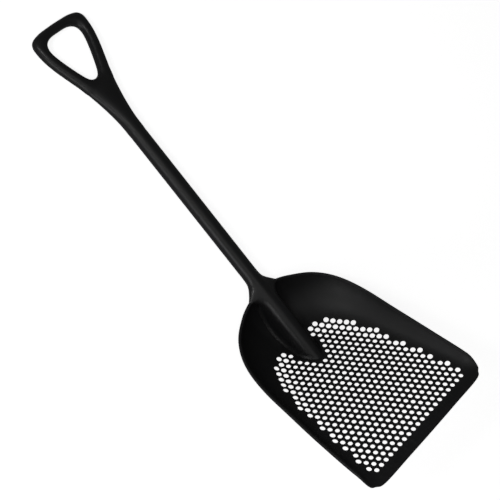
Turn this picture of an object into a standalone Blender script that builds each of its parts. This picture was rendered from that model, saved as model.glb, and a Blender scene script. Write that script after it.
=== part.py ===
"""Sifting sand scoop: a long D-grip shovel with a perforated, deep-sided blade.

The real object is one injection-moulded piece of black polypropylene.  Here the moulding is
divided at its natural section lines into closed solids, each a named node, 0.3 mm apart.

Units are metres.  The moulding is drawn in the blade's own frame: X across, Y back from the
front edge, Z up from the sieve floor.  The empty `rest_pose` then lays it on its back, heel of
the blade and grip on the ground, with the front edge towards -Y and the grip towards +Y.
"""

import math

import bmesh
import bpy
from mathutils import Matrix, Vector

# ---- driving dimensions ---------------------------------------------------------------------
GAP = 0.0003                    # clearance between neighbouring sections
PITCH = 0.0143                  # spacing of the sieve holes
HOLE_RADIUS = 0.0049
HOLE_SIDES = 5                  # each round hole is a pentagon of the same area here
SHEET = 0.0032                  # thickness of the floor and of the walls
BEAD_RADIUS = 0.0030            # rounded bead along the rim
BEAD_SIDES = 8

# Stations of the blade, from the middle of the front edge round one side to the middle of the
# back: half-width and distance back of the rim, then of the edge of the flat floor.
STATIONS = (
    (0.0000, 0.001, 0.000, 0.012),
    (0.0700, 0.001, 0.062, 0.012),
    (0.1430, 0.001, 0.120, 0.012),
    (0.1632, 0.009, 0.132, 0.018),
    (0.1732, 0.029, 0.136, 0.032),
    (0.1690, 0.127, 0.124, 0.110),
    (0.1630, 0.207, 0.110, 0.180),
    (0.1560, 0.287, 0.092, 0.236),
    (0.1400, 0.345, 0.073, 0.280),
    (0.1105, 0.387, 0.050, 0.310),
    (0.0690, 0.413, 0.028, 0.324),
    (0.0330, 0.422, 0.013, 0.328),
    (0.0000, 0.423, 0.000, 0.329),
)
STEPS_PER_STATION = 3
FRONT_LIP_END = 4.0             # station where the lip ends and the side wall starts
SIDE_WALL_END = 7.0             # station where the side wall ends and the shoulder starts
NECK_STATION = 10.9             # station where the rim bead meets the neck
SEAM = 0.004                    # clearance between wall sections, in stations: about 0.3 mm
WALL_STEPS = 5                  # faces up the wall, and across the front lip
LIP_STEPS = 3

# Height of the rim above the floor, as it climbs from the front corner to the back.
RIM_FRONT = 0.013
RIM_SLOPE = 0.10
RIM_CURVE = 0.19
NECK_RISE = 0.021               # further climb of the rim into the neck
NECK_RISE_SPREAD = 0.056
NECK_RISE_START = 0.30          # distance back where that further climb starts
NECK_RISE_BLEND = 0.10
LIP_HEIGHT = 0.001
LIP_START = 0.008               # the front lip rises into the rim from here
LIP_BLEND = 0.034

# The field of holes: rows run across the blade.
FIRST_ROW = 0.0299              # first row's distance back from the front edge
ROWS = 26
COLUMNS = 10                    # most holes on either side of the middle
FIELD_FRONT_HALF = 0.1476       # half-width of the field at the front row
FIELD_TAPER = 0.118             # narrowing of that half-width per metre back
FIELD_BACK_START = 0.100        # behind this the field also stays inside an ellipse
FIELD_BACK_DEPTH = 0.2774
FIELD_BACK_HALF = 0.140
RIDGE_KEEP_START = 0.272        # rows behind this leave room for the ridge
RIDGE_KEEP_HALF = 0.012
RIDGE_KEEP_SLOPE = 0.62
RIDGE_KEEP_MOST = 0.033
PIN_SPAN = (-0.020, 0.060)      # heights between which the moulding pins reach

# The handle: a bar that leaves the floor at SHAFT_ANGLE, straight from ridge to grip.
SHAFT_ANGLE = math.radians(42.5)
NECK_Y = 0.425                  # where the bar's axis passes the rim
NECK_Z = 0.1070
SHAFT_RADIUS = 0.0170
RIDGE_RADIUS = 0.0208
RIDGE_START = -0.215            # distances along the bar from the neck
RIDGE_END = -0.045
SWELL_FROM = 0.030              # the bar swells from here to the ridge
SWELL_LENGTH = 0.110
NECK_END = 0.050
SHAFT_END = 0.425
BAR_SIDES = 24
BAR_STEP = 0.005                # spacing of the rings where the bar changes shape
SHAFT_STEP = 0.060
KEEL_CUT = 5                    # how many clearances deeper the cutter of its passage reaches
NECK_WEB = 0.017                # how far the web stands out on each side of the neck
NECK_WEB_LENGTH = 0.018
NECK_WEB_SHARPNESS = 5          # how thin the web is at its edge

# The D-grip, from the middle of its crossbar round one arm to the yoke: distance along the bar
# and half-width of the finger opening, then of the outside.
GRIP_STATIONS = (
    (0.6510, 0.0000, 0.6695, 0.0000),
    (0.6510, 0.0120, 0.6690, 0.0180),
    (0.6495, 0.0240, 0.6675, 0.0370),
    (0.6440, 0.0345, 0.6640, 0.0560),
    (0.6360, 0.0395, 0.6540, 0.0645),
    (0.6250, 0.0410, 0.6390, 0.0657),
    (0.6100, 0.0382, 0.6180, 0.0638),
    (0.5900, 0.0320, 0.5960, 0.0588),
    (0.5720, 0.0255, 0.5790, 0.0536),
    (0.5580, 0.0200, 0.5650, 0.0488),
)
CROSSBAR_END = 3.2              # grip station where the crossbar ends and the arm starts
GRIP_HALF_DEPTH = 0.0125
CROSSBAR_HALF_DEPTH = 0.0135
GRIP_SIDES = 12
ARM_BLEND = 0.5                 # grip stations over which the crossbar thins into the arm
# The yoke's outside from the shaft to the arms, and its opening from the arm to the middle.
YOKE_OUTSIDE = ((0.425, 0.0170), (0.443, 0.0187), (0.472, 0.0233), (0.500, 0.0293), (0.530, 0.0376))
YOKE_OPENING = ((0.5475, 0.0150), (0.5400, 0.0085), (0.5370, 0.0000))
YOKE_BEVEL = 0.010
SHARP_EDGE = math.radians(35)
BEVEL_FROM = math.radians(75)   # only the yoke's outline is rounded
REST_HALVINGS = 40
REST_MARGIN = math.radians(10)  # the rest angle is within this of the shaft angle
POLYPROPYLENE = (0.012, 0.012, 0.013, 1.0)


# ---- helpers --------------------------------------------------------------------------------
def clear_scene():
    for item in list(bpy.data.objects):
        bpy.data.objects.remove(item, do_unlink=True)


def polypropylene(name, shade):
    """A black moulded plastic; `shade` sets how light this section looks."""
    material = bpy.data.materials.new(name)
    material.use_nodes = True
    shader = material.node_tree.nodes["Principled BSDF"]
    shader.inputs["Base Color"].default_value = tuple(shade * c for c in POLYPROPYLENE[:3]) + (1.0,)
    shader.inputs["Roughness"].default_value = 0.42
    shader.inputs["Metallic"].default_value = 0.0
    return material


def add_object(name, bm, shade=1.0):
    """Turn a bmesh into a named node with outward faces and its own material."""
    bmesh.ops.recalc_face_normals(bm, faces=bm.faces)
    mesh = bpy.data.meshes.new(name)
    bm.to_mesh(mesh)
    bm.free()
    item = bpy.data.objects.new(name, mesh)
    bpy.context.scene.collection.objects.link(item)
    mesh.materials.append(polypropylene(name + "_plastic", shade))
    mesh.shade_smooth()
    mesh.set_sharp_from_angle(angle=SHARP_EDGE)
    return item


def cut(item, cutter):
    """Subtract `cutter` from `item` at once, and keep `item` a plain mesh."""
    modifier = item.modifiers.new("cut", "BOOLEAN")
    modifier.operation = "DIFFERENCE"
    modifier.solver = "EXACT"
    modifier.object = cutter
    graph = bpy.context.evaluated_depsgraph_get()
    mesh = bpy.data.meshes.new_from_object(item.evaluated_get(graph))
    item.modifiers.remove(modifier)
    item.data = mesh


def drop_chips(item):
    """Keep only the largest body of `item`, without the chips that a cut leaves at a seam."""
    bm = bmesh.new()
    bm.from_mesh(item.data)
    waiting = set(bm.verts)
    bodies = []
    while waiting:
        stack = [waiting.pop()]
        body = []
        while stack:
            vertex = stack.pop()
            body.append(vertex)
            for edge in vertex.link_edges:
                other = edge.other_vert(vertex)
                if other in waiting:
                    waiting.remove(other)
                    stack.append(other)
        bodies.append(body)
    bodies.sort(key=lambda body: (len(body), min(v.index for v in body)))
    chips = [vertex for body in bodies[:-1] for vertex in body]
    bmesh.ops.delete(bm, geom=chips, context="VERTS")
    bm.to_mesh(item.data)
    bm.free()


def remove_object(item):
    bpy.data.objects.remove(item, do_unlink=True)


def smooth_value(points, position):
    """Catmull-Rom value of a row of points at a fractional position."""
    index = min(int(position), len(points) - 2)
    share = position - index
    before = points[max(index - 1, 0)]
    start = points[index]
    end = points[index + 1]
    after = points[min(index + 2, len(points) - 1)]
    result = []
    for a, b, c, d in zip(before, start, end, after):
        linear = (c - a) * share
        square = (2 * a - 5 * b + 4 * c - d) * share ** 2
        cube = (3 * b - a - 3 * c + d) * share ** 3
        result.append(0.5 * (2 * b + linear + square + cube))
    return result


def smooth_step(value):
    value = min(max(value, 0.0), 1.0)
    return value * value * (3 - 2 * value)


# ---- the blade's surface ----------------------------------------------------------------------
def rim_height(across, back):
    """Height of the rim: low at the front lip, climbing back, and climbing again to the neck."""
    climb = RIM_FRONT + RIM_SLOPE * back + RIM_CURVE * back * back
    neck = NECK_RISE * math.exp(-(across / NECK_RISE_SPREAD) ** 2)
    neck *= smooth_step((back - NECK_RISE_START) / NECK_RISE_BLEND)
    return LIP_HEIGHT + (climb + neck - LIP_HEIGHT) * smooth_step((back - LIP_START) / LIP_BLEND)


def side_curve(station, side):
    """Floor edge, direction to the rim, the two radii and the total angle of the side curve.

    The curve leaves the floor flat and is round where the rim is far out; where the rim is
    higher than it is far it is the quarter of an ellipse, so that no wall leans inwards."""
    rim_x, rim_y, floor_x, floor_y = smooth_value(STATIONS, station)
    floor = Vector((side * floor_x, floor_y, 0.0))
    rim = Vector((side * rim_x, rim_y, 0.0))
    run = (rim - floor).length
    rise = rim_height(rim_x, rim_y)
    sweep = min(2 * math.atan2(rise, run), math.pi / 2)
    return floor, (rim - floor) / run, run / math.sin(sweep), rise / (1 - math.cos(sweep)), sweep


def blade_point(station, share, side, depth):
    """A point on the side curve: share 0 at the floor, 1 at the rim; depth into the sheet."""
    floor, outward, reach, climb, sweep = side_curve(station, side)
    angle = share * sweep
    scale = depth / math.hypot(climb * math.sin(angle), reach * math.cos(angle))
    across = reach * math.sin(angle) + scale * climb * math.sin(angle)
    height = climb * (1 - math.cos(angle)) - scale * reach * math.cos(angle)
    return floor + outward * across + Vector((0.0, 0.0, height))


def share_of(length, station, side):
    """The share of the side curve that a length along it takes up."""
    _, _, reach, climb, sweep = side_curve(station, side)
    return 2 * length / ((reach + climb) * sweep)


def station_list(first, last):
    """Stations from first to last, with STEPS_PER_STATION between whole ones."""
    count = max(1, round((last - first) * STEPS_PER_STATION))
    return [first + (last - first) * i / count for i in range(count + 1)]


def thick_patch(rows):
    """A closed sheet from rows of (inner point, outer point) pairs."""
    bm = bmesh.new()
    grid = [[(bm.verts.new(inner), bm.verts.new(outer)) for inner, outer in row] for row in rows]
    last_row = len(grid) - 1
    last_column = len(grid[0]) - 1
    for i in range(last_row):
        for j in range(last_column):
            corners = (grid[i][j], grid[i + 1][j], grid[i + 1][j + 1], grid[i][j + 1])
            bm.faces.new([c[0] for c in corners])
            bm.faces.new([c[1] for c in reversed(corners)])
    for i in range(last_row):
        for j in (0, last_column):
            a, b = grid[i][j], grid[i + 1][j]
            bm.faces.new((a[0], a[1], b[1], b[0]))
    for j in range(last_column):
        for i in (0, last_row):
            a, b = grid[i][j], grid[i][j + 1]
            bm.faces.new((a[0], a[1], b[1], b[0]))
    return bm


def wall_section(name, first, last, side, shade):
    """One length of the wall, from the edge of the flat floor to just below the rim bead."""
    rows = []
    for station in station_list(first, last):
        start = share_of(GAP, station, side)
        end = 1.0 - share_of(BEAD_RADIUS + GAP, station, side)
        row = []
        for step in range(WALL_STEPS + 1):
            share = start + (end - start) * step / WALL_STEPS
            inner = blade_point(station, share, side, 0.0)
            outer = blade_point(station, share, side, SHEET)
            row.append((inner, outer))
        rows.append(row)
    return add_object(name, thick_patch(rows), shade)


def front_lip():
    """The front border and its two rounded corners, one strip from side to side."""
    rows = []
    left = [(s, 1) for s in reversed(station_list(0.0, FRONT_LIP_END - SEAM))]
    right = [(s, -1) for s in station_list(0.0, FRONT_LIP_END - SEAM)[1:]]
    for station, side in left + right:
        start = share_of(GAP, station, side)
        row = []
        for step in range(LIP_STEPS + 1):
            share = start + (1.0 - start) * step / LIP_STEPS
            inner = blade_point(station, share, side, 0.0)
            outer = blade_point(station, share, side, SHEET)
            row.append((inner, outer))
        rows.append(row)
    return add_object("front_lip", thick_patch(rows), 1.0)


def rim_bead(name, first, last, side):
    """A round bead along the rim, closed at both ends."""
    bm = bmesh.new()
    centres = [blade_point(s, 1.0, side, SHEET / 2) for s in station_list(first, last)]
    rings = []
    for index, centre in enumerate(centres):
        ahead = centres[min(index + 1, len(centres) - 1)]
        behind = centres[max(index - 1, 0)]
        along = (ahead - behind).normalized()
        across = along.cross(Vector((0.0, 0.0, 1.0))).normalized()
        up = across.cross(along)
        ring = []
        for k in range(BEAD_SIDES):
            angle = 2 * math.pi * (k + 0.5) / BEAD_SIDES
            offset = across * math.cos(angle) + up * math.sin(angle)
            ring.append(bm.verts.new(centre + offset * BEAD_RADIUS))
        rings.append(ring)
    skin_rings(bm, rings)
    return add_object(name, bm, 1.6)


def flat_end(bm, ring):
    bm.faces.new(ring)


def level_end(bm, ring):
    """Close an end with level strips, so that two bent ends that meet have the same shape."""
    quarter = len(ring) // 4
    for k in range(-quarter, quarter):
        corners = (ring[k], ring[k + 1], ring[2 * quarter - k - 1], ring[2 * quarter - k])
        bm.faces.new(list(dict.fromkeys(corners)))


def skin_rings(bm, rings, close_end=flat_end):
    """Quads between neighbouring rings, and faces on both ends."""
    count = len(rings[0])
    for first, second in zip(rings, rings[1:]):
        for k in range(count):
            n = (k + 1) % count
            bm.faces.new((first[k], first[n], second[n], second[k]))
    close_end(bm, rings[0])
    close_end(bm, rings[-1])


# ---- the perforated floor -----------------------------------------------------------------------
def hole_centres():
    """Staggered holes inside the field's outline, with the ridge left clear."""
    centres = []
    for row in range(ROWS):
        back = FIRST_ROW + row * PITCH * math.sqrt(3) / 2
        half = FIELD_FRONT_HALF - FIELD_TAPER * (back - FIRST_ROW)
        if back > FIELD_BACK_START:
            reach = (back - FIELD_BACK_START) / FIELD_BACK_DEPTH
            half = min(half, FIELD_BACK_HALF * math.sqrt(1.0 - reach * reach))
        keep_out = -1.0
        if back > RIDGE_KEEP_START:
            keep_out = RIDGE_KEEP_HALF + RIDGE_KEEP_SLOPE * (back - RIDGE_KEEP_START)
            keep_out = min(keep_out, RIDGE_KEEP_MOST)
        shift = 0.5 if row % 2 == 0 else 0.0
        for column in range(-COLUMNS, COLUMNS + 1):
            across = (column + shift) * PITCH
            if abs(across) <= half and abs(across) > keep_out:
                centres.append((across, back))
    return centres


def hole_pins():
    """All the moulding pins that leave the holes, as one cutter of separate prisms."""
    corner = math.radians(360 / HOLE_SIDES)
    radius = HOLE_RADIUS * math.sqrt(2 * math.pi / (HOLE_SIDES * math.sin(corner)))
    bm = bmesh.new()
    for across, back in hole_centres():
        rings = []
        for height in PIN_SPAN:
            ring = []
            for k in range(HOLE_SIDES):
                x = across + radius * math.cos(k * corner)
                y = back + radius * math.sin(k * corner)
                ring.append(bm.verts.new((x, y, height)))
            rings.append(ring)
        skin_rings(bm, rings)
    pins = add_object("hole_pins", bm)
    pins.hide_render = True
    pins.display_type = "WIRE"
    return pins


def sieve_floor():
    """The flat floor, out to where the side curves start."""
    stations = [(s, 1) for s in station_list(0.0, len(STATIONS) - 1.0)]
    stations += [(s, -1) for s, _ in reversed(stations[1:-1])]
    bm = bmesh.new()
    rings = []
    for depth in (0.0, SHEET):
        rings.append([bm.verts.new(blade_point(s, 0.0, side, depth)) for s, side in stations])
    skin_rings(bm, rings)
    return add_object("sieve_floor", bm, 1.0)


# ---- the handle -----------------------------------------------------------------------------------
def bar_frame():
    """Matrix from the handle's frame (X across, Y along the bar, Z off its face) to the blade's."""
    return Matrix.Translation((0.0, NECK_Y, NECK_Z)) @ Matrix.Rotation(SHAFT_ANGLE, 4, "X")


def bar_half_sizes(along):
    """Radius of the bar and how far its side webs stand out, at a distance from the neck."""
    swell = smooth_step((SWELL_FROM - along) / SWELL_LENGTH)
    radius = SHAFT_RADIUS + (RIDGE_RADIUS - SHAFT_RADIUS) * swell
    web = NECK_WEB * math.exp(-(along / NECK_WEB_LENGTH) ** 2)
    return radius, web


def heel_height(back):
    """Height of the blade's underside along its middle: below the floor ahead of the heel,
    and without limit behind the blade."""
    floor, _, reach, climb, _ = side_curve(len(STATIONS) - 1.0, 1)
    share = (back - floor.y) / (reach + SHEET)
    if share <= 0.0:
        return -2 * SHEET
    if share >= 1.0:
        return math.inf
    return climb - (climb + SHEET) * math.sqrt(1.0 - share * share)


def bar_length(bm, first, last, inflate=0.0, step=None):
    """A length of the bar as a skinned row of rings, its underside let down to the blade's."""
    frame = bar_frame()
    rings = []
    count = math.ceil((last - first) / (step or BAR_STEP))
    for index in range(count + 1):
        along = first + (last - first) * index / count
        radius, web = bar_half_sizes(along)
        ring = []
        for k in range(BAR_SIDES):
            angle = 2 * math.pi * k / BAR_SIDES
            x = (radius + inflate) * math.cos(angle) + web * math.cos(angle) ** NECK_WEB_SHARPNESS
            z = (radius + inflate) * math.sin(angle)
            point = frame @ Vector((x, along, z))
            if z < -inflate - GAP:
                point.z = min(point.z, heel_height(point.y) - KEEL_CUT * inflate)
            ring.append(bm.verts.new(point))
        rings.append(ring)
    skin_rings(bm, rings, level_end)


def bar_section(name, first, last, shade, step=None):
    bm = bmesh.new()
    bar_length(bm, first + GAP / 2, last - GAP / 2, step=step)
    return add_object(name, bm, shade)


def bar_cutter():
    """The bar, one clearance larger, for cutting its passage through the blade."""
    bm = bmesh.new()
    bar_length(bm, RIDGE_START - BAR_STEP, NECK_END + BAR_STEP, inflate=2 * GAP)
    cutter = add_object("bar_cutter", bm)
    cutter.hide_render = True
    cutter.display_type = "WIRE"
    return cutter


def below_floor_cutter():
    """A block under the blade whose top is level with the underside of the floor."""
    bm = bmesh.new()
    bmesh.ops.create_cube(bm, size=1.0)
    block = Matrix.Translation((0.0, 0.0, -0.5 - SHEET))
    bmesh.ops.transform(bm, matrix=block, verts=bm.verts)
    return add_object("below_floor", bm)


# ---- the grip -----------------------------------------------------------------------------------
def grip_ring(bm, station, side):
    """Oval section of the grip's loop between the finger opening and the outside."""
    inner_along, inner_half, outer_along, outer_half = smooth_value(GRIP_STATIONS, station)
    inner = Vector((side * inner_half, inner_along, 0.0))
    outer = Vector((side * outer_half, outer_along, 0.0))
    blend = smooth_step(station - CROSSBAR_END + ARM_BLEND)
    depth = CROSSBAR_HALF_DEPTH + (GRIP_HALF_DEPTH - CROSSBAR_HALF_DEPTH) * blend
    frame = bar_frame()
    ring = []
    for k in range(GRIP_SIDES):
        turn = 2 * math.pi * (k + 0.5) / GRIP_SIDES
        place = (inner + outer) / 2 + (outer - inner) / 2 * math.cos(turn)
        ring.append(bm.verts.new(frame @ (place + Vector((0.0, 0.0, math.sin(turn) * depth)))))
    return ring


def grip_section(name, stations, shade):
    bm = bmesh.new()
    skin_rings(bm, [grip_ring(bm, station, side) for station, side in stations])
    return add_object(name, bm, shade)


def crossbar():
    seam = SEAM * 2
    half = [(s, 1) for s in reversed(station_list(0.0, CROSSBAR_END - seam))]
    other = [(s, -1) for s in station_list(0.0, CROSSBAR_END - seam)[1:]]
    return grip_section("crossbar", half + other, 1.3)


def arm(name, side):
    last = len(GRIP_STATIONS) - 1.0 - SEAM * 4
    return grip_section(name, [(s, side) for s in station_list(CROSSBAR_END, last)], 1.5)


def yoke():
    """The flared web where the shaft spreads into the two arms: a plate with rounded edges."""
    inner_along, inner_half, outer_along, outer_half = GRIP_STATIONS[-1]
    outline = [(half, along) for along, half in YOKE_OUTSIDE]
    outline[0] = (outline[0][0], outline[0][1] + GAP / 2)
    outline += [(outer_half, outer_along), (inner_half, inner_along)]
    outline += [(half, along) for along, half in YOKE_OPENING]
    outline += [(-x, y) for x, y in reversed(outline[:-1])]
    bm = bmesh.new()
    face = bm.faces.new([bm.verts.new((x, y, -GRIP_HALF_DEPTH)) for x, y in outline])
    raised = bmesh.ops.extrude_face_region(bm, geom=[face])
    top = [v for v in raised["geom"] if isinstance(v, bmesh.types.BMVert)]
    bmesh.ops.translate(bm, verts=top, vec=(0.0, 0.0, 2 * GRIP_HALF_DEPTH))
    bmesh.ops.transform(bm, matrix=bar_frame(), verts=bm.verts)
    item = add_object("yoke", bm, 1.2)
    bevel = item.modifiers.new("rounded_edges", "BEVEL")
    bevel.width = YOKE_BEVEL
    bevel.segments = 3
    bevel.limit_method = "ANGLE"
    bevel.angle_limit = BEVEL_FROM
    return item


# ---- assembly ------------------------------------------------------------------------------------
def build_blade():
    last = len(STATIONS) - 1.0 - SEAM
    bead_start = FRONT_LIP_END + 4 * SEAM
    sections = [sieve_floor(), front_lip()]
    for side, name in ((1, "left"), (-1, "right")):
        sections.append(wall_section(name + "_wall", FRONT_LIP_END, SIDE_WALL_END - SEAM, side, 1.0))
        sections.append(wall_section(name + "_shoulder", SIDE_WALL_END, last, side, 1.1))
        sections.append(rim_bead(name + "_wall_bead", bead_start, SIDE_WALL_END - SEAM, side))
        sections.append(rim_bead(name + "_shoulder_bead", SIDE_WALL_END, NECK_STATION, side))
    return sections


def build_handle():
    ridge = bar_section("ridge", RIDGE_START, RIDGE_END, 1.3)
    below = below_floor_cutter()
    cut(ridge, below)
    remove_object(below)
    neck = bar_section("neck", RIDGE_END, NECK_END, 1.3)
    shaft = bar_section("shaft", NECK_END, SHAFT_END, 1.5, step=SHAFT_STEP)
    return [ridge, neck, shaft, yoke(), arm("left_arm", 1), arm("right_arm", -1), crossbar()]


def perforate(blade):
    pins = hole_pins()
    bar = bar_cutter()
    for section in blade:
        if section.name in ("sieve_floor", "left_shoulder", "right_shoulder"):
            cut(section, bar)
        if not section.name.endswith("bead"):
            cut(section, pins)
            drop_chips(section)
    remove_object(pins)
    remove_object(bar)


def lowest(items, turn):
    """Lowest height of the given sections once they are turned."""
    return min((turn @ v.co).z for item in items for v in item.data.vertices)


def rest_turn(blade, handle):
    """The turn that lays heel and grip level: halve the interval until they agree."""
    low = SHAFT_ANGLE - REST_MARGIN
    high = SHAFT_ANGLE + REST_MARGIN
    grip = [item for item in handle if item.name in ("crossbar", "left_arm", "right_arm")]
    for _ in range(REST_HALVINGS):
        middle = (low + high) / 2
        turn = Matrix.Rotation(-middle, 4, "X")
        if lowest(grip, turn) > lowest(blade, turn):
            low = middle
        else:
            high = middle
    return Matrix.Rotation(-middle, 4, "X")


def rest_pose(sections, turn):
    """Parent every section to one empty that stands the bounding box's base on the origin."""
    points = [turn @ v.co for item in sections for v in item.data.vertices]
    ends = [(min(p[i] for p in points), max(p[i] for p in points)) for i in range(3)]
    shift = Vector((-(ends[0][0] + ends[0][1]) / 2, -(ends[1][0] + ends[1][1]) / 2, -ends[2][0]))
    pose = bpy.data.objects.new("rest_pose", None)
    bpy.context.scene.collection.objects.link(pose)
    pose.matrix_world = Matrix.Translation(shift) @ turn
    for item in sections:
        item.parent = pose


def main():
    clear_scene()
    blade = build_blade()
    perforate(blade)
    handle = build_handle()
    rest_pose(blade + handle, rest_turn(blade, handle))
    bpy.context.view_layer.update()


main()
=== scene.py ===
# %% [markdown]
# # A sifting sand scoop
#
# This scoop is one injection moulding in black polypropylene: a curved blade with a perforated
# floor, a round bar that grows out of the floor as a ridge, and a D-shaped grip.  We load the
# fixed frame first.  Its solids set every size; what we add here is the finished surface.

# %% Load the frame
import math

import bmesh
import bpy
from mathutils import Matrix, Vector
from mathutils.bvhtree import BVHTree


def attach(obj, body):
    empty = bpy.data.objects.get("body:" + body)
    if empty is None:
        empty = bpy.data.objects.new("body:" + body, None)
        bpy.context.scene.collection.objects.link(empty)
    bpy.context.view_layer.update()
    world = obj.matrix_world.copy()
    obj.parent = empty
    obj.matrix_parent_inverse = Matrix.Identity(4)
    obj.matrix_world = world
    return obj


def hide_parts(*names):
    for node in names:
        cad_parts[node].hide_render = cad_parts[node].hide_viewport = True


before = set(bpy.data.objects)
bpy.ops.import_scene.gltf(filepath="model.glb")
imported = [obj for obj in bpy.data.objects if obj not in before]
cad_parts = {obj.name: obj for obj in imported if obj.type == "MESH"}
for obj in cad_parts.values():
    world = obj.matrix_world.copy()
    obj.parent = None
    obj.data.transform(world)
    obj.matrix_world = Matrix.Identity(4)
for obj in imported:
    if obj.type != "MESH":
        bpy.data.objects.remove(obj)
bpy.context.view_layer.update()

MM = 0.001
print("nodes:", len(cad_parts))

# %% [markdown]
# ## The blade's own frame
#
# It is easiest to draw a scoop as it stands on its flat floor: X across, Y back from the front
# edge, Z up.  On the ground the scoop lies on its back instead, on heel and grip.  One matrix
# takes every finished mesh from the first frame to the second, so the objects stay unturned.

# %% The turn from the blade's frame to the ground
REST_TURN = math.radians(-44.4866)
REST_SHIFT = (0.0, -0.52287, 0.25767)
to_ground = Matrix.Translation(REST_SHIFT) @ Matrix.Rotation(REST_TURN, 4, "X")
print("front edge on the ground frame:", tuple(round(v, 4) for v in to_ground @ Vector((0, 0, 0))))


# %% Small helpers for curves
def smooth_step(value):
    value = min(max(value, 0.0), 1.0)
    return value * value * (3 - 2 * value)


def smooth_value(points, position):
    """Catmull-Rom value of a row of points at a fractional position."""
    index = min(int(position), len(points) - 2)
    share = position - index
    before = points[max(index - 1, 0)]
    start = points[index]
    end = points[index + 1]
    after = points[min(index + 2, len(points) - 1)]
    result = []
    for a, b, c, d in zip(before, start, end, after):
        linear = (c - a) * share
        square = (2 * a - 5 * b + 4 * c - d) * share ** 2
        cube = (3 * b - a - 3 * c + d) * share ** 3
        result.append(0.5 * (2 * b + linear + square + cube))
    return result


def skin(bm, rings, closed=True):
    """Quads between neighbouring rings of vertices; closed joins the last row to the first."""
    count = len(rings[0])
    pairs = list(zip(rings, rings[1:]))
    if closed:
        pairs.append((rings[-1], rings[0]))
    for first, second in pairs:
        for k in range(count):
            n = (k + 1) % count
            bm.faces.new((first[k], first[n], second[n], second[k]))


# %% [markdown]
# ## The shape of the blade
#
# The blade is a shallow tray whose side grows from nothing at the front lip to a deep shoulder
# beside the neck.  At each station round it we know where the floor ends and where the rim is.
# Between them the wall is a quarter of a circle, or of an ellipse where it is steep.

# %% Stations round the blade, from the middle of the front edge to the middle of the back
SHEET = 3.2 * MM
STATIONS = (  # rim: half-width, distance back; edge of the flat floor: half-width, distance back
    (0.0000, 0.001, 0.000, 0.012),
    (0.0700, 0.001, 0.062, 0.012),
    (0.1430, 0.001, 0.120, 0.012),
    (0.1632, 0.009, 0.132, 0.018),
    (0.1732, 0.029, 0.136, 0.032),
    (0.1690, 0.127, 0.124, 0.110),
    (0.1630, 0.207, 0.110, 0.180),
    (0.1560, 0.287, 0.092, 0.236),
    (0.1400, 0.345, 0.073, 0.280),
    (0.1105, 0.387, 0.050, 0.310),
    (0.0690, 0.413, 0.028, 0.324),
    (0.0330, 0.422, 0.013, 0.328),
    (0.0000, 0.423, 0.000, 0.329),
)
LAST_STATION = len(STATIONS) - 1

RIM_FRONT = 13.0 * MM
RIM_SLOPE = 0.10
RIM_CURVE = 0.19
NECK_RISE = 21.0 * MM
NECK_RISE_SPREAD = 56.0 * MM
NECK_RISE_START = 0.300
NECK_RISE_BLEND = 0.100
LIP_HEIGHT = 1.0 * MM
LIP_START = 8.0 * MM
LIP_BLEND = 34.0 * MM


def rim_height(across, back):
    """Height of the rim over the floor: it climbs back, and once more into the neck."""
    climb = RIM_FRONT + RIM_SLOPE * back + RIM_CURVE * back * back
    neck = NECK_RISE * math.exp(-(across / NECK_RISE_SPREAD) ** 2)
    neck *= smooth_step((back - NECK_RISE_START) / NECK_RISE_BLEND)
    return LIP_HEIGHT + (climb + neck - LIP_HEIGHT) * smooth_step((back - LIP_START) / LIP_BLEND)


def side_curve(station, side):
    """Floor edge, direction to the rim, the wall curve's two radii and its angle."""
    rim_x, rim_y, floor_x, floor_y = smooth_value(STATIONS, station)
    floor = Vector((side * floor_x, floor_y, 0.0))
    rim = Vector((side * rim_x, rim_y, 0.0))
    run = (rim - floor).length
    rise = rim_height(rim_x, rim_y)
    sweep = min(2 * math.atan2(rise, run), math.pi / 2)
    return floor, (rim - floor) / run, run / math.sin(sweep), rise / (1 - math.cos(sweep)), sweep


def blade_point(station, share, side, depth):
    """A point of the wall: share 0 at the floor, 1 at the rim; depth 0 is the inner face."""
    floor, outward, reach, climb, sweep = side_curve(station, side)
    angle = share * sweep
    scale = depth / math.hypot(climb * math.sin(angle), reach * math.cos(angle))
    across = reach * math.sin(angle) + scale * climb * math.sin(angle)
    height = climb * (1 - math.cos(angle)) - scale * reach * math.cos(angle)
    return floor + outward * across + Vector((0.0, 0.0, height))


print("rim height at the shoulder: %.1f mm" % (rim_height(0.1105, 0.387) / MM))

# %% [markdown]
# ## The shell of the blade
#
# A moulder would cut this shape as one cavity: inner face, rounded rim and outer face in one
# sweep.  We do the same.  Each station gives one ring of points, from the floor's edge up the
# inner face, over the bead of the rim and down the outer face.  The flat floor closes the sweep
# with one face above and one below, which a Boolean can pierce cleanly.

# %% Sweep the shell
WALL_STEPS = 16
BEAD_STEPS = 10
STATION_STEPS = 10
RIM_RADIUS = 3.3 * MM
LIP_RADIUS = 1.7 * MM
BEAD_FROM = 3.3                 # station where the lip's edge starts to swell into the bead
BEAD_BLEND = 1.2
NEAR_RIM = 0.98                 # share of the wall curve from which its end direction is read


def rim_bead_radius(station):
    """The bead fades into a plain rounded edge along the front lip."""
    return LIP_RADIUS + (RIM_RADIUS - LIP_RADIUS) * smooth_step((station - BEAD_FROM) / BEAD_BLEND)


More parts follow.
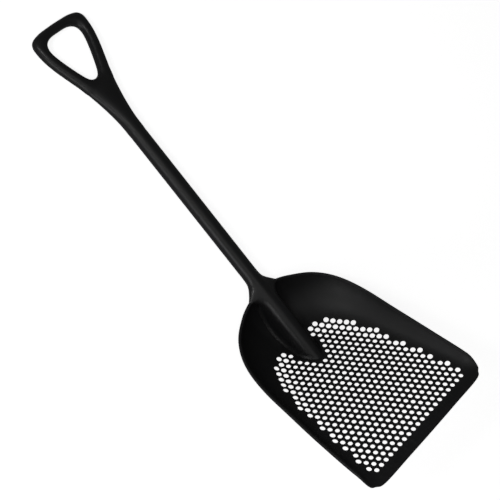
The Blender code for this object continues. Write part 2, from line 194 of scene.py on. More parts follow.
def shell_ring(bm, station, side):
    """Inner face, bead and outer face at one station."""
    radius = rim_bead_radius(station)
    half_open = math.acos(min(1.0, SHEET / 2 / radius))
    _, _, reach, climb, sweep = side_curve(station, side)
    end = 1.0 - 2 * radius * math.sin(half_open) / ((reach + climb) * sweep)
    inner = [blade_point(station, end * k / WALL_STEPS, side, 0.0) for k in range(WALL_STEPS + 1)]
    outer = [blade_point(station, end * k / WALL_STEPS, side, SHEET) for k in range(WALL_STEPS + 1)]
    centre = blade_point(station, 1.0, side, SHEET / 2)
    along_wall = (centre - blade_point(station, NEAR_RIM, side, SHEET / 2)).normalized()
    inward = (blade_point(station, 1.0, side, 0.0) - centre).normalized()
    bead = []
    for k in range(1, BEAD_STEPS):
        turn = -half_open + (math.pi + 2 * half_open) * k / BEAD_STEPS
        bead.append(centre + radius * (inward * math.cos(turn) + along_wall * math.sin(turn)))
    return [bm.verts.new(point) for point in inner + bead + outer[::-1]]


def blade_shell():
    """One closed shell round the whole blade, with flat faces over and under the floor."""
    count = LAST_STATION * STATION_STEPS
    left = [(k / STATION_STEPS, 1) for k in range(count + 1)]
    right = [(station, -1) for station, _ in left[-2:0:-1]]
    bm = bmesh.new()
    rings = [shell_ring(bm, station, side) for station, side in left + right]
    for first, second in zip(rings, rings[1:] + rings[:1]):
        for k in range(len(first) - 1):
            bm.faces.new((first[k], first[k + 1], second[k + 1], second[k]))
    bm.faces.new([ring[0] for ring in rings])
    bm.faces.new([ring[-1] for ring in rings])
    bmesh.ops.recalc_face_normals(bm, faces=bm.faces)
    mesh = bpy.data.meshes.new("blade")
    bm.to_mesh(mesh)
    bm.free()
    item = bpy.data.objects.new("blade", mesh)
    bpy.context.scene.collection.objects.link(item)
    return item


blade = blade_shell()
print("shell:", len(blade.data.polygons), "faces")

# %% [markdown]
# ## Nodes, and the plastic
#
# One small function adds a node with its settings and links.  Colours are written as the hex
# values a designer would pick, and one function turns them to linear light.


# %% Helpers for node trees and colour
def add_node(tree, kind, inputs=None, **settings):
    """Add a node, set its properties, then set or link its inputs by name or number."""
    made = tree.nodes.new(kind)
    for key, value in settings.items():
        setattr(made, key, value)
    for key, value in (inputs or {}).items():
        if isinstance(value, bpy.types.NodeSocket):
            tree.links.new(value, made.inputs[key])
        else:
            made.inputs[key].default_value = value
    return made


def linear(hex_colour):
    """Turn #rrggbb into a linear RGBA colour."""
    levels = [int(hex_colour[i:i + 2], 16) / 255 for i in (1, 3, 5)]
    lit = [v / 12.92 if v <= 0.04045 else ((v + 0.055) / 1.055) ** 2.4 for v in levels]
    return (*lit, 1.0)


print("the plastic's black in linear light:", [round(v, 4) for v in linear("#151516")])

# %% [markdown]
# ## Black moulded polypropylene
#
# Polypropylene is a waxy plastic, coloured through with carbon black.  Mould steel is spark
# eroded, so the part comes out with a fine satin grain: highlights are broad and soft.  The
# melt leaves faint broad flow marks, and use leaves hair-thin scuffs along the direction the
# scoop is pushed.  All three are drawn with noise on Object coordinates, in real sizes.

# %% Make the plastic
POLYPROPYLENE_IOR = 1.49
FLOW_WIDTH = 60.0 * MM
GRAIN_SIZE = 0.9 * MM           # 0.2 mm on the real part; drawn coarser so that it shows
SCUFF_SPACING = 2.0 * MM
SCUFF_STRETCH = 0.035           # a scuff is nearly thirty times as long as it is wide
SCUFF_COLOUR = "#3a3a3b"
SCUFF_SHOWS = (0.56, 0.74)      # noise levels between which a scuff fades in
SCUFF_DULLS = 0.35              # roughness added where a scuff is full
FLOW_RANGE = (0.3, 0.7)         # noise levels between which the gloss varies
GLOSS_RANGE = (-0.04, 0.05)     # and how much smoother or rougher it gets there
GRAIN_DEPTH = 0.10 * MM
GRAIN_STRENGTH = 0.45
FLOW_DEPTH = 0.40 * MM
FLOW_STRENGTH = 0.5


def moulded_polypropylene(name, dark, light, roughness, scuffs):
    """Satin black polypropylene; scuffs is how far the surface is marked by use."""
    material = bpy.data.materials.new(name)
    material.use_nodes = True
    tree = material.node_tree
    shader = tree.nodes["Principled BSDF"]
    shader.inputs["IOR"].default_value = POLYPROPYLENE_IOR
    place = add_node(tree, "ShaderNodeTexCoord").outputs["Object"]

    # Turned so that the pattern's Y runs up the blade's floor, the way sand slides over it.
    along_floor = add_node(tree, "ShaderNodeMapping", {"Vector": place})
    along_floor.inputs["Rotation"].default_value = (-REST_TURN, 0.0, 0.0)
    stretched = add_node(tree, "ShaderNodeMapping", {"Vector": along_floor.outputs[0]})
    stretched.inputs["Scale"].default_value = (1.0, SCUFF_STRETCH, 1.0)

    # Three noises: broad flow marks, the eroded grain, and scuffs.
    flow = add_node(tree, "ShaderNodeTexNoise",
                    {"Vector": place, "Scale": 1 / FLOW_WIDTH, "Detail": 3.0, "Roughness": 0.5,
                     "Distortion": 0.6})
    grain = add_node(tree, "ShaderNodeTexNoise",
                     {"Vector": place, "Scale": 1 / GRAIN_SIZE, "Detail": 2.0, "Roughness": 0.6})
    scuff = add_node(tree, "ShaderNodeTexNoise",
                     {"Vector": stretched.outputs[0], "Scale": 1 / SCUFF_SPACING, "Detail": 4.0,
                      "Roughness": 0.65})

    # Scuffs show only where their noise is high, and they are a little greyer.
    scuff_mask = add_node(tree, "ShaderNodeMapRange",
                          {"Value": scuff.outputs[0], "From Min": SCUFF_SHOWS[0],
                           "From Max": SCUFF_SHOWS[1], "To Min": 0.0, "To Max": scuffs})
    tint = add_node(tree, "ShaderNodeMix", {0: flow.outputs[0]}, data_type="RGBA")
    tint.inputs[6].default_value = linear(dark)
    tint.inputs[7].default_value = linear(light)
    marked = add_node(tree, "ShaderNodeMix", {0: scuff_mask.outputs[0], 6: tint.outputs[2]},
                      data_type="RGBA")
    marked.inputs[7].default_value = linear(SCUFF_COLOUR)
    tree.links.new(marked.outputs[2], shader.inputs["Base Color"])

    # The flow marks vary the gloss, and the scuffs are duller.
    gloss = add_node(tree, "ShaderNodeMapRange",
                     {"Value": flow.outputs[0],
                      "From Min": FLOW_RANGE[0], "To Min": roughness + GLOSS_RANGE[0],
                      "From Max": FLOW_RANGE[1], "To Max": roughness + GLOSS_RANGE[1]})
    worn_gloss = add_node(tree, "ShaderNodeMath",
                          {0: scuff_mask.outputs[0], 1: SCUFF_DULLS, 2: gloss.outputs[0]},
                          operation="MULTIPLY_ADD")
    tree.links.new(worn_gloss.outputs[0], shader.inputs["Roughness"])

    fine = add_node(tree, "ShaderNodeBump",
                    {"Height": grain.outputs[0], "Strength": GRAIN_STRENGTH,
                     "Distance": GRAIN_DEPTH})
    broad = add_node(tree, "ShaderNodeBump",
                     {"Height": flow.outputs[0], "Strength": FLOW_STRENGTH,
                      "Distance": FLOW_DEPTH, "Normal": fine.outputs[0]})
    tree.links.new(broad.outputs[0], shader.inputs["Normal"])
    return material


# The handle's colours are a shade lighter than the blade's, though both are the same plastic:
# painted light, for the stronger light that the round bar and grip catch.
blade_plastic = moulded_polypropylene("blade_polypropylene", "#151516", "#1b1b1c", 0.48, 0.30)
handle_plastic = moulded_polypropylene("handle_polypropylene", "#1c1c1d", "#222223", 0.36, 0.12)
print("materials:", blade_plastic.name, handle_plastic.name)

# %% [markdown]
# ## The sieve
#
# More than four hundred round holes stand in staggered rows.  In the mould each is a pin, its
# root eased so that the plastic lets go.  Geometry Nodes lay the lattice out, keep what lies
# inside the field, drop each point on to the shell, stand a pin on it along the surface's
# normal, and cut them all in one Boolean.  The field tapers, closes to the back in an ellipse
# and leaves room for the ridge.  Where it climbs the curved foot the holes are a fifth larger.

# %% One pin, as a turned solid
HOLE_RADIUS = 4.75 * MM
PIN_SIDES = 22
EASE = 0.35 * MM
EASE_MIDDLE = 0.35              # where the middle point of the eased edge lies, in parts of EASE
PIN_OVERSHOOT = 6               # how many times EASE a pin's cone reaches past the sheet


def sieve_pin():
    """A pin with eased ends, whose Z = 0 is the inner face of the sheet."""
    past = PIN_OVERSHOOT * EASE
    turn_in = EASE_MIDDLE * EASE
    profile = ((past, past + EASE), (0.0, EASE), (-turn_in, turn_in), (-EASE, 0.0),
               (EASE - SHEET, 0.0), (turn_in - SHEET, turn_in), (-SHEET, EASE),
               (-SHEET - past, past + EASE))
    bm = bmesh.new()
    rings = []
    for height, wider in profile:
        ring = []
        for k in range(PIN_SIDES):
            turn = 2 * math.pi * k / PIN_SIDES
            reach = HOLE_RADIUS + wider
            ring.append(bm.verts.new((reach * math.cos(turn), reach * math.sin(turn), height)))
        rings.append(ring)
    skin(bm, rings, closed=False)
    bm.faces.new(rings[0])
    bm.faces.new(rings[-1])
    bmesh.ops.recalc_face_normals(bm, faces=bm.faces)
    mesh = bpy.data.meshes.new("sieve_pin")
    bm.to_mesh(mesh)
    bm.free()
    item = bpy.data.objects.new("sieve_pin", mesh)
    bpy.context.scene.collection.objects.link(item)
    return item


pin = sieve_pin()
print("pin:", len(pin.data.polygons), "faces, hole %.1f mm across" % (2 * HOLE_RADIUS / MM))

# %% The tree that lays out and cuts the holes
SIEVE_SIZES = {
    "Pitch": 14.3 * MM,
    "First Row": 29.9 * MM,
    "Field Half Width": 147.6 * MM,
    "Field Taper": 0.118,
    "Back Start": 100.0 * MM,
    "Back Depth": 277.4 * MM,
    "Back Half Width": 140.0 * MM,
    "Ridge Start": 272.0 * MM,
    "Ridge Half Width": 12.0 * MM,
    "Ridge Slope": 0.62,
    "Ridge Most": 33.0 * MM,
    "Edge Growth": 0.19,
}
ROWS = 26
COLUMNS = 10
RAY_START = 0.080               # height from which the lattice is dropped on to the shell
RAY_LENGTH = 0.200
CLIMB_SPAN = 1.0 * MM           # rise of the surface over which the holes grow


def sieve_tree():
    """Node group: staggered lattice, field outline, pins along the normals, one Boolean."""
    tree = bpy.data.node_groups.new("sieve_perforation", "GeometryNodeTree")
    face = tree.interface
    face.new_socket(name="Geometry", in_out="INPUT", socket_type="NodeSocketGeometry")
    face.new_socket(name="Pin", in_out="INPUT", socket_type="NodeSocketObject")
    face.new_socket(name="Plastic", in_out="INPUT", socket_type="NodeSocketMaterial")
    face.new_socket(name="Rows", in_out="INPUT", socket_type="NodeSocketInt")
    face.new_socket(name="Columns", in_out="INPUT", socket_type="NodeSocketInt")
    for name in SIEVE_SIZES:
        face.new_socket(name=name, in_out="INPUT", socket_type="NodeSocketFloat")
    face.new_socket(name="Geometry", in_out="OUTPUT", socket_type="NodeSocketGeometry")
    given = tree.nodes.new("NodeGroupInput").outputs

    def sum_of(operation, first, second=0.0, third=0.0):
        inputs = {0: first, 1: second, 2: third}
        return add_node(tree, "ShaderNodeMath", inputs, operation=operation).outputs[0]

    # The lattice: rows along X, every other row moved by half a pitch.
    pitch = given["Pitch"]
    row_pitch = sum_of("MULTIPLY", pitch, math.sqrt(3) / 2)
    wide = sum_of("MULTIPLY", pitch, sum_of("MULTIPLY", given["Columns"], 2.0))
    deep = sum_of("MULTIPLY", row_pitch, sum_of("SUBTRACT", given["Rows"], 1.0))
    per_row = sum_of("MULTIPLY_ADD", given["Columns"], 2.0, 1.0)
    lattice = add_node(tree, "GeometryNodeMeshGrid", {"Size X": wide, "Size Y": deep,
                                                      "Vertices X": per_row,
                                                      "Vertices Y": given["Rows"]})
    place = add_node(tree, "ShaderNodeSeparateXYZ",
                     {0: add_node(tree, "GeometryNodeInputPosition").outputs[0]})
    from_front = sum_of("MULTIPLY_ADD", deep, 0.5, place.outputs["Y"])
    row = sum_of("ROUND", sum_of("DIVIDE", from_front, row_pitch))
    even = sum_of("SUBTRACT", 1.0, sum_of("MODULO", row, 2.0))
    across = sum_of("MULTIPLY_ADD", sum_of("MULTIPLY", even, 0.5), pitch, place.outputs["X"])
    back = sum_of("ADD", from_front, given["First Row"])

    # The field: a tapering band that closes in an ellipse, with the ridge left clear.
    from_first = sum_of("SUBTRACT", back, given["First Row"])
    narrowed = sum_of("MULTIPLY", from_first, given["Field Taper"])
    taper = sum_of("SUBTRACT", given["Field Half Width"], narrowed)
    behind = sum_of("MAXIMUM", sum_of("SUBTRACT", back, given["Back Start"]), 0.0)
    reach = sum_of("MINIMUM", sum_of("DIVIDE", behind, given["Back Depth"]), 1.0)
    closing = sum_of("SQRT", sum_of("SUBTRACT", 1.0, sum_of("MULTIPLY", reach, reach)))
    ahead = sum_of("LESS_THAN", back, given["Back Start"])
    oval = sum_of("MULTIPLY_ADD", given["Back Half Width"], closing, ahead)
    half = sum_of("MINIMUM", taper, oval)
    past_tip = sum_of("SUBTRACT", back, given["Ridge Start"])
    ridge = sum_of("MULTIPLY_ADD", past_tip, given["Ridge Slope"], given["Ridge Half Width"])
    ridge = sum_of("MINIMUM", ridge, given["Ridge Most"])
    ridge = sum_of("MULTIPLY", ridge, sum_of("GREATER_THAN", past_tip, 0.0))
    offset = sum_of("ABSOLUTE", across)
    outside = sum_of("GREATER_THAN", offset, half)
    under_ridge = sum_of("LESS_THAN", offset, ridge)
    dropped = sum_of("MAXIMUM", outside, under_ridge)

    # Store the mask before the points move, then move them, and delete what is masked.
    mask = add_node(tree, "GeometryNodeStoreNamedAttribute",
                    {"Geometry": lattice.outputs["Mesh"], "Name": "dropped", "Value": dropped},
                    data_type="FLOAT", domain="POINT")
    spot = add_node(tree, "ShaderNodeCombineXYZ", {"X": across, "Y": back, "Z": RAY_START})
    moved = add_node(tree, "GeometryNodeSetPosition", {"Geometry": mask.outputs[0],
                                                       "Position": spot.outputs[0]})
    stored = add_node(tree, "GeometryNodeInputNamedAttribute", {"Name": "dropped"},
                      data_type="FLOAT")
    kept = add_node(tree, "GeometryNodeDeleteGeometry",
                    {"Geometry": moved.outputs[0],
                     "Selection": sum_of("GREATER_THAN", stored.outputs["Attribute"], 0.5)},
                    domain="POINT")

    # Drop each point on to the shell's inner face, and read the normal there.
    ray = add_node(tree, "GeometryNodeRaycast",
                   {"Target Geometry": given["Geometry"], "Ray Direction": (0.0, 0.0, -1.0),
                    "Ray Length": RAY_LENGTH})
    normal = add_node(tree, "GeometryNodeStoreNamedAttribute",
                      {"Geometry": kept.outputs[0], "Name": "pin_axis",
                       "Value": ray.outputs["Hit Normal"]}, data_type="FLOAT_VECTOR",
                      domain="POINT")
    landed = add_node(tree, "GeometryNodeSetPosition", {"Geometry": normal.outputs[0],
                                                        "Position": ray.outputs["Hit Position"]})
    axis = add_node(tree, "GeometryNodeInputNamedAttribute", {"Name": "pin_axis"},
                    data_type="FLOAT_VECTOR")
    stand = add_node(tree, "FunctionNodeAlignRotationToVector",
                     {"Vector": axis.outputs["Attribute"]}, axis="Z")
    level = add_node(tree, "ShaderNodeSeparateXYZ",
                     {0: add_node(tree, "GeometryNodeInputPosition").outputs[0]})
    climbed = add_node(tree, "ShaderNodeMapRange",
                       {"Value": level.outputs["Z"], "From Min": 0.0, "From Max": CLIMB_SPAN,
                        "To Min": 0.0, "To Max": 1.0})
    growth = sum_of("MULTIPLY_ADD", climbed.outputs[0], given["Edge Growth"], 1.0)
    size = add_node(tree, "ShaderNodeCombineXYZ", {"X": growth, "Y": growth, "Z": 1.0})
    source = add_node(tree, "GeometryNodeObjectInfo", {"Object": given["Pin"]})
    pins = add_node(tree, "GeometryNodeInstanceOnPoints",
                    {"Points": landed.outputs[0], "Instance": source.outputs["Geometry"],
                     "Rotation": stand.outputs[0], "Scale": size.outputs[0]})
    solid_pins = add_node(tree, "GeometryNodeRealizeInstances", {0: pins.outputs[0]})
    cut = add_node(tree, "GeometryNodeMeshBoolean", {"Mesh 1": given["Geometry"],
                                                     "Mesh 2": solid_pins.outputs[0]},
                   operation="DIFFERENCE", solver="EXACT")
    real = add_node(tree, "GeometryNodeRealizeInstances", {0: cut.outputs[0]})
    dressed = add_node(tree, "GeometryNodeSetMaterial", {"Geometry": real.outputs[0],
                                                         "Material": given["Plastic"]})
    add_node(tree, "NodeGroupOutput", {0: dressed.outputs[0]})
    return tree


def made_plain(item, name):
    """Replace an object's mesh with its evaluated mesh, and drop its modifiers."""
    graph = bpy.context.evaluated_depsgraph_get()
    mesh = bpy.data.meshes.new_from_object(item.evaluated_get(graph))
    item.modifiers.clear()
    item.data = mesh
    item.name = name
    mesh.name = name
    return item


def perforate(item):
    """Run the sieve tree on the shell and keep the result as a plain mesh."""
    modifier = item.modifiers.new("sieve", "NODES")
    modifier.node_group = sieve_tree()
    values = {"Pin": pin, "Plastic": blade_plastic, "Rows": ROWS, "Columns": COLUMNS}
    values.update(SIEVE_SIZES)
    for socket in modifier.node_group.interface.items_tree:
        if socket.in_out == "INPUT" and socket.name in values:
            modifier[socket.identifier] = values[socket.name]
    return made_plain(item, "blade")


plain_shell = BVHTree.FromObject(blade, bpy.context.evaluated_depsgraph_get())
plain_faces = len(blade.data.polygons)
perforate(blade)
bpy.data.objects.remove(pin)
print("blade:", plain_faces, "faces before the holes,", len(blade.data.polygons), "after")

# %% [markdown]
# ## The bar, the ridge and the grip
#
# The handle is one flowing solid.  It could be a subdivided cage, but where the grip's loop
# meets the shaft a cage needs awkward poles.  Instead we loft simple overlapping solids, let a
# voxel remesh melt them into one skin, and smooth the creases away, much as a pattern maker
# blends wax.  All of it is drawn along the bar: X across, Y along, Z off its face.

# %% Sizes along the bar, measured from the neck
SHAFT_ANGLE = math.radians(42.5)
NECK_PLACE = Vector((0.0, 0.425, 0.1070))
BAR_PLACE = Matrix.Translation(NECK_PLACE) @ Matrix.Rotation(SHAFT_ANGLE, 4, "X")
SHAFT_RADIUS = 17.0 * MM
RIDGE_RADIUS = 20.8 * MM
RIDGE_START = -0.215
BAR_END = 0.430
BAR_RINGS = 260
SWELL_FROM = 0.030              # the bar swells from here to the ridge
SWELL_LENGTH = 0.110
NECK_WEB = 17.0 * MM
NECK_WEB_LENGTH = 18.0 * MM
NECK_WEB_SHARPNESS = 5          # how thin the web is at its edge
KEEL_SPAN = (0.300, 0.418)      # distances back between which the keel fills the heel
KEEL_RINGS = 40
KEEL_INSET = 0.985              # the keel is this much narrower than the ridge
GRIP_STATIONS = (  # finger opening: along, half-width; outside: along, half-width
    (0.6510, 0.0000, 0.6705, 0.0000),
    (0.6510, 0.0120, 0.6700, 0.0180),
    (0.6495, 0.0240, 0.6690, 0.0370),
    (0.6440, 0.0345, 0.6640, 0.0560),
    (0.6360, 0.0395, 0.6540, 0.0645),
    (0.6250, 0.0410, 0.6390, 0.0657),
    (0.6100, 0.0382, 0.6180, 0.0638),
    (0.5900, 0.0320, 0.5960, 0.0588),
    (0.5720, 0.0255, 0.5790, 0.0536),
    (0.5580, 0.0200, 0.5650, 0.0488),
    (0.5475, 0.0150, 0.5420, 0.0408),
    (0.5400, 0.0085, 0.5120, 0.0295),
    (0.5370, 0.0000, 0.5020, 0.0000),
)
CROSSBAR_END = 3.2
ARM_BLEND = 0.5                 # grip stations over which the crossbar thins into the arm
GRIP_HALF_DEPTH = 12.5 * MM
CROSSBAR_HALF_DEPTH = 13.5 * MM
GRIP_SIDES = 36
GRIP_RINGS = 8                  # rings for each station of the loop
YOKE_STATIONS = (  # along the bar, half-width, half-depth
    (0.405, 0.0170, 0.0170),
    (0.425, 0.0172, 0.0169),
    (0.443, 0.0187, 0.0162),
    (0.472, 0.0233, 0.0149),
    (0.500, 0.0293, 0.0137),
    (0.515, 0.0330, 0.0131),
    (0.525, 0.0345, 0.0122),
    (0.532, 0.0300, 0.0095),
    (0.535, 0.0200, 0.0055),
)
YOKE_RINGS = 30
YOKE_SQUARENESS = 0.9           # 1 is an ellipse; less is squarer
BAR_SIDES = 72


# %% Loft the bar, the yoke and the loop
def yoke_ring(along, width, depth):
    """A slightly squared oval across the bar."""
    points = []
    for k in range(BAR_SIDES):
        turn = 2 * math.pi * k / BAR_SIDES
        x = math.copysign(abs(math.cos(turn)) ** YOKE_SQUARENESS, math.cos(turn))
        z = math.copysign(abs(math.sin(turn)) ** YOKE_SQUARENESS, math.sin(turn))
        points.append((width * x, along, depth * z))
    return points


def bar_ring(along):
    """The round bar, swollen towards the ridge and webbed where it passes the rim."""
    swell = smooth_step((SWELL_FROM - along) / SWELL_LENGTH)
    radius = SHAFT_RADIUS + (RIDGE_RADIUS - SHAFT_RADIUS) * swell
    web = NECK_WEB * math.exp(-(along / NECK_WEB_LENGTH) ** 2)
    points = []
    for k in range(BAR_SIDES):
        turn = 2 * math.pi * k / BAR_SIDES
        x = radius * math.cos(turn) + web * math.cos(turn) ** NECK_WEB_SHARPNESS
        points.append((x, along, radius * math.sin(turn)))
    return points


def grip_ring(station, side):
    """Oval between the finger opening and the outside, at one station of the loop."""
    inner_along, inner_half, outer_along, outer_half = smooth_value(GRIP_STATIONS, station)
    inner = Vector((side * inner_half, inner_along, 0.0))
    outer = Vector((side * outer_half, outer_along, 0.0))
    blend = smooth_step(station - CROSSBAR_END + ARM_BLEND)
    depth = CROSSBAR_HALF_DEPTH + (GRIP_HALF_DEPTH - CROSSBAR_HALF_DEPTH) * blend
    points = []
    for k in range(GRIP_SIDES):
        turn = 2 * math.pi * k / GRIP_SIDES
        place = (inner + outer) / 2 + (outer - inner) / 2 * math.cos(turn)
        points.append((place.x, place.y, math.sin(turn) * depth))
    return points


def heel_keel_ring(back):
    """The rib that fills the gap between the bar's underside and the heel, at one distance."""
    floor, _, reach, climb, _ = side_curve(LAST_STATION, 1)
    share = min(max((back - floor.y) / (reach + SHEET / 2), 0.0), 1.0)
    under = climb - (climb + SHEET / 2) * math.sqrt(1.0 - share * share)
    axis_height = NECK_PLACE.z + (back - NECK_PLACE.y) * math.tan(SHAFT_ANGLE)
    half = RIDGE_RADIUS * KEEL_INSET
    corners = ((half, axis_height), (half, under), (-half, under), (-half, axis_height))
    to_bar = BAR_PLACE.inverted()
    return [to_bar @ Vector((x, back, z)) for x, z in corners]


def add_loft(bm, rows, closed=False):
    """Skin rows of points; open ends are capped."""
    rings = [[bm.verts.new(point) for point in row] for row in rows]
    skin(bm, rings, closed)
    if not closed:
        bm.faces.new(rings[0])
        bm.faces.new(rings[-1])


def between(first, last, count):
    return [first + (last - first) * k / count for k in range(count + 1)]


def handle_solids():
    """Bar, keel, yoke and grip loop as overlapping lofts in the bar's frame."""
    bm = bmesh.new()
    add_loft(bm, [bar_ring(along) for along in between(RIDGE_START, BAR_END, BAR_RINGS)])
    add_loft(bm, [heel_keel_ring(back) for back in between(*KEEL_SPAN, KEEL_RINGS)])
    yoke = between(0.0, len(YOKE_STATIONS) - 1, YOKE_RINGS)
    add_loft(bm, [yoke_ring(*smooth_value(YOKE_STATIONS, station)) for station in yoke])
    last = len(GRIP_STATIONS) - 1
    left = [(s, 1) for s in between(0.0, last, last * GRIP_RINGS)]
    right = [(s, -1) for s, _ in left[-2:0:-1]]
    add_loft(bm, [grip_ring(s, side) for s, side in left + right], closed=True)
    bmesh.ops.recalc_face_normals(bm, faces=bm.faces)
    mesh = bpy.data.meshes.new("handle")
    bm.to_mesh(mesh)
    bm.free()
    item = bpy.data.objects.new("handle", mesh)
    bpy.context.scene.collection.objects.link(item)
    return item


# %% Melt the lofts into one skin
HANDLE_VOXEL = 1.35 * MM
MELT_SMOOTHING = 14
handle = handle_solids()
melt = handle.modifiers.new("melt", "REMESH")
melt.mode = "VOXEL"
melt.voxel_size = HANDLE_VOXEL
relax = handle.modifiers.new("relax", "SMOOTH")
relax.factor = 0.5
relax.iterations = MELT_SMOOTHING
made_plain(handle, "handle")
print("handle:", len(handle.data.polygons), "faces")

# %% [markdown]
# ## Fillets where the bar meets the blade
#
# A moulding has no sharp inside corners.  Where the ridge stands on the floor and the neck on
# the shoulders, the plastic flares out in a fillet.  We push each point of the bar outwards,
# along the nearby surface of the blade, by the profile of a quarter circle: nothing at one
# fillet radius away from the blade, and the full radius where they touch.

# %% Flare the foot of the bar
FILLET = 12.0 * MM
TIP_FILLET = 2.0 * MM
NECK_FILLET = 10.0 * MM
PAST_TIP = (0.280, 0.040)       # distance back where the heel's fillet starts, and its blend
AT_NECK = (0.375, 0.040)        # the same for the neck's
FOOT_END = 0.470                # behind this nothing touches the blade
FOOT_SMOOTHING = 6
LEAST_SLIDE = 0.001 * MM


def fillet_at(back):
    """Fillet radius: small at the ridge's tip, large in the heel, less again at the neck."""
    past_tip = smooth_step((back - PAST_TIP[0]) / PAST_TIP[1])
    at_neck = smooth_step((back - AT_NECK[0]) / AT_NECK[1])
    swollen = TIP_FILLET + (FILLET - TIP_FILLET) * past_tip
    return swollen + (NECK_FILLET - swollen) * at_neck


def cut_level(item):
    """Move the handle into the blade's frame and cut it off in the middle of the floor."""
    item.data.transform(BAR_PLACE)
    bm = bmesh.new()
    bm.from_mesh(item.data)
    everything = bm.verts[:] + bm.edges[:] + bm.faces[:]
    level = (0.0, 0.0, -SHEET / 2)
    done = bmesh.ops.bisect_plane(bm, geom=everything, plane_co=level, plane_no=(0.0, 0.0, 1.0),
                                  clear_inner=True)
    rim = [part for part in done["geom_cut"] if isinstance(part, bmesh.types.BMEdge)]
    bmesh.ops.contextual_create(bm, geom=rim)
    bmesh.ops.triangulate(bm, faces=[face for face in bm.faces if len(face.verts) > 4])
    bm.to_mesh(item.data)
    bm.free()
    item.data.update()
    return len(rim)


def flare_foot(item):
    """Spread the foot of the handle over the blade."""
    axis_start = BAR_PLACE @ Vector((0, 0, 0))
    axis = (BAR_PLACE @ Vector((0, 1, 0)) - axis_start).normalized()
    pushed = 0
    for vertex in item.data.vertices:
        point = vertex.co
        if point.y > FOOT_END:
            continue
        fillet = fillet_at(point.y)
        near, normal, _, distance = plain_shell.find_nearest(point, fillet)
        if near is not None:
            away = point - axis_start
            radial = away - axis * away.dot(axis)
            slide = radial - normal * radial.dot(normal)
            if slide.length > LEAST_SLIDE:
                gap = min(distance / fillet, 1.0)
                reach = fillet * (1.0 - math.sqrt(1.0 - (1.0 - gap) ** 2))
                vertex.co = point + slide.normalized() * reach
                pushed += 1
    return pushed


print("edges round the cut:", cut_level(handle))
print("fillet points moved:", flare_foot(handle))
settle = handle.modifiers.new("settle", "SMOOTH")
settle.factor = 0.5
settle.iterations = FOOT_SMOOTHING
made_plain(handle, "handle")
handle.data.materials.clear()
handle.data.materials.append(handle_plastic)

# %% [markdown]
# ## Lay it on the ground and hand it over
#
# Both meshes take the turn to the ground, get smooth shading with true edges kept sharp, and
# ride on the object's one body.  Each hides the plain solids it stands for.

# %% Place, shade and hand over
SHARP_EDGE = math.radians(24)


def hand_over(item, nodes):
    """Place the mesh in the frame, shade it, and let it stand for these solids."""
    item.data.transform(to_ground)
    item.data.shade_smooth()
    item.data.set_sharp_from_angle(angle=SHARP_EDGE)
    item.data.update()
    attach(item, "root")
    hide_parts(*nodes)
    print(item.name, "stands for", len(nodes), "solids")


HANDLE_NODES = ("ridge", "neck", "shaft", "yoke", "left_arm", "right_arm", "crossbar")
hand_over(blade, [name for name in sorted(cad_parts) if name not in HANDLE_NODES])
hand_over(handle, HANDLE_NODES)

# %% [markdown]
# ## Floor, light and camera
#
# A pale floor, close to white, glows so that the holes read as clean light, and a round wall
# stands behind it for the low views.  Neither shows in the plastic's reflections, which would
# put bright edges all round a black object.  A broad softbox overhead and another low at the
# side fill the hollows; a small key light draws the streaks along the bar and the arms.


# %% The floor and the backdrop
STUDIO_RADIUS = 9.0
WALL_SIDES = 64
FLOOR_GLOW = 0.84
WALL_GLOW = 0.95


def studio_surface(name, bm, glow):
    """A plain, pale, glowing surface that glossy reflections don't see."""
    mesh = bpy.data.meshes.new(name)
    bm.to_mesh(mesh)
    bm.free()
    item = bpy.data.objects.new(name, mesh)
    bpy.context.scene.collection.objects.link(item)
    item.visible_glossy = False
    material = bpy.data.materials.new("pale_" + name)
    material.use_nodes = True
    shader = material.node_tree.nodes["Principled BSDF"]
    shader.inputs["Base Color"].default_value = linear("#f4f4f4")
    shader.inputs["Roughness"].default_value = 0.9
    shader.inputs["Emission Color"].default_value = (1.0, 1.0, 1.0, 1.0)
    shader.inputs["Emission Strength"].default_value = glow
    mesh.materials.append(material)
    return item


def pale_floor():
    """A wide floor, a hair under the scoop."""
    bm = bmesh.new()
    bmesh.ops.create_grid(bm, x_segments=1, y_segments=1, size=STUDIO_RADIUS)
    floor = studio_surface("floor", bm, FLOOR_GLOW)
    floor.location.z = -0.5 * MM


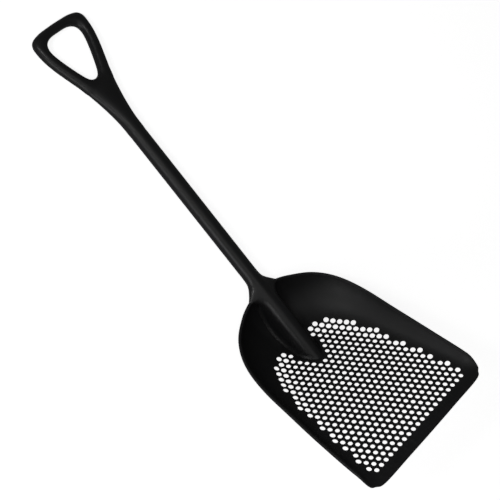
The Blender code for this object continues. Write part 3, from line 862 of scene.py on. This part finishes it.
def pale_backdrop():
    """A round wall for the low views; it lights nothing and shades nothing."""
    bm = bmesh.new()
    turns = [2 * math.pi * k / WALL_SIDES for k in range(WALL_SIDES)]
    spots = [(STUDIO_RADIUS * math.cos(turn), STUDIO_RADIUS * math.sin(turn)) for turn in turns]
    rings = [[bm.verts.new((x, y, z)) for x, y in spots] for z in (-MM, STUDIO_RADIUS)]
    skin(bm, rings, closed=False)
    wall = studio_surface("backdrop", bm, WALL_GLOW)
    wall.visible_diffuse = False
    wall.visible_shadow = False


pale_floor()
pale_backdrop()


# %% The lights
def softbox(name, place, aim, size, power):
    """An area light at a place, turned to face a point."""
    data = bpy.data.lights.new(name, "AREA")
    data.shape = "SQUARE"
    data.size = size
    data.energy = power
    item = bpy.data.objects.new(name, data)
    bpy.context.scene.collection.objects.link(item)
    item.location = place
    item.rotation_euler = (Vector(aim) - Vector(place)).to_track_quat("-Z", "Y").to_euler()
    return item


WORLD_GLOW = 0.08
# Name, place, the point it faces, size in metres, power in watts.
softbox("overhead", (-0.9, -0.4, 2.6), (0.0, 0.0, 0.0), 2.0, 5.0)
softbox("side", (-2.4, -0.3, 0.9), (0.0, 0.1, 0.1), 1.2, 8.0)
softbox("key", (-1.65, 0.95, 1.9), (0.0, 0.1, 0.1), 0.45, 7.5)
world = bpy.data.worlds.new("studio")
world.use_nodes = True
background = world.node_tree.nodes["Background"]
background.inputs["Color"].default_value = (1.0, 1.0, 1.0, 1.0)
background.inputs["Strength"].default_value = WORLD_GLOW
bpy.context.scene.world = world
bpy.context.scene.view_settings.view_transform = "Standard"


# %% The camera
CAMERA_PLACE = (-0.9402, 0.2759, 1.9505)
CAMERA_TURN = (10.477, -26.478, -41.924)    # degrees about X, Y and Z
CAMERA_LENS = 76.83


def studio_camera():
    """Looks down on the scoop from beyond its right-hand side, grip at the upper left."""
    data = bpy.data.cameras.new("camera")
    data.lens = CAMERA_LENS
    data.sensor_width = 36.0
    data.clip_start = 0.05
    data.clip_end = 40.0
    item = bpy.data.objects.new("camera", data)
    bpy.context.scene.collection.objects.link(item)
    item.location = CAMERA_PLACE
    item.rotation_euler = [math.radians(angle) for angle in CAMERA_TURN]
    bpy.context.scene.camera = item
    return item


studio_camera()
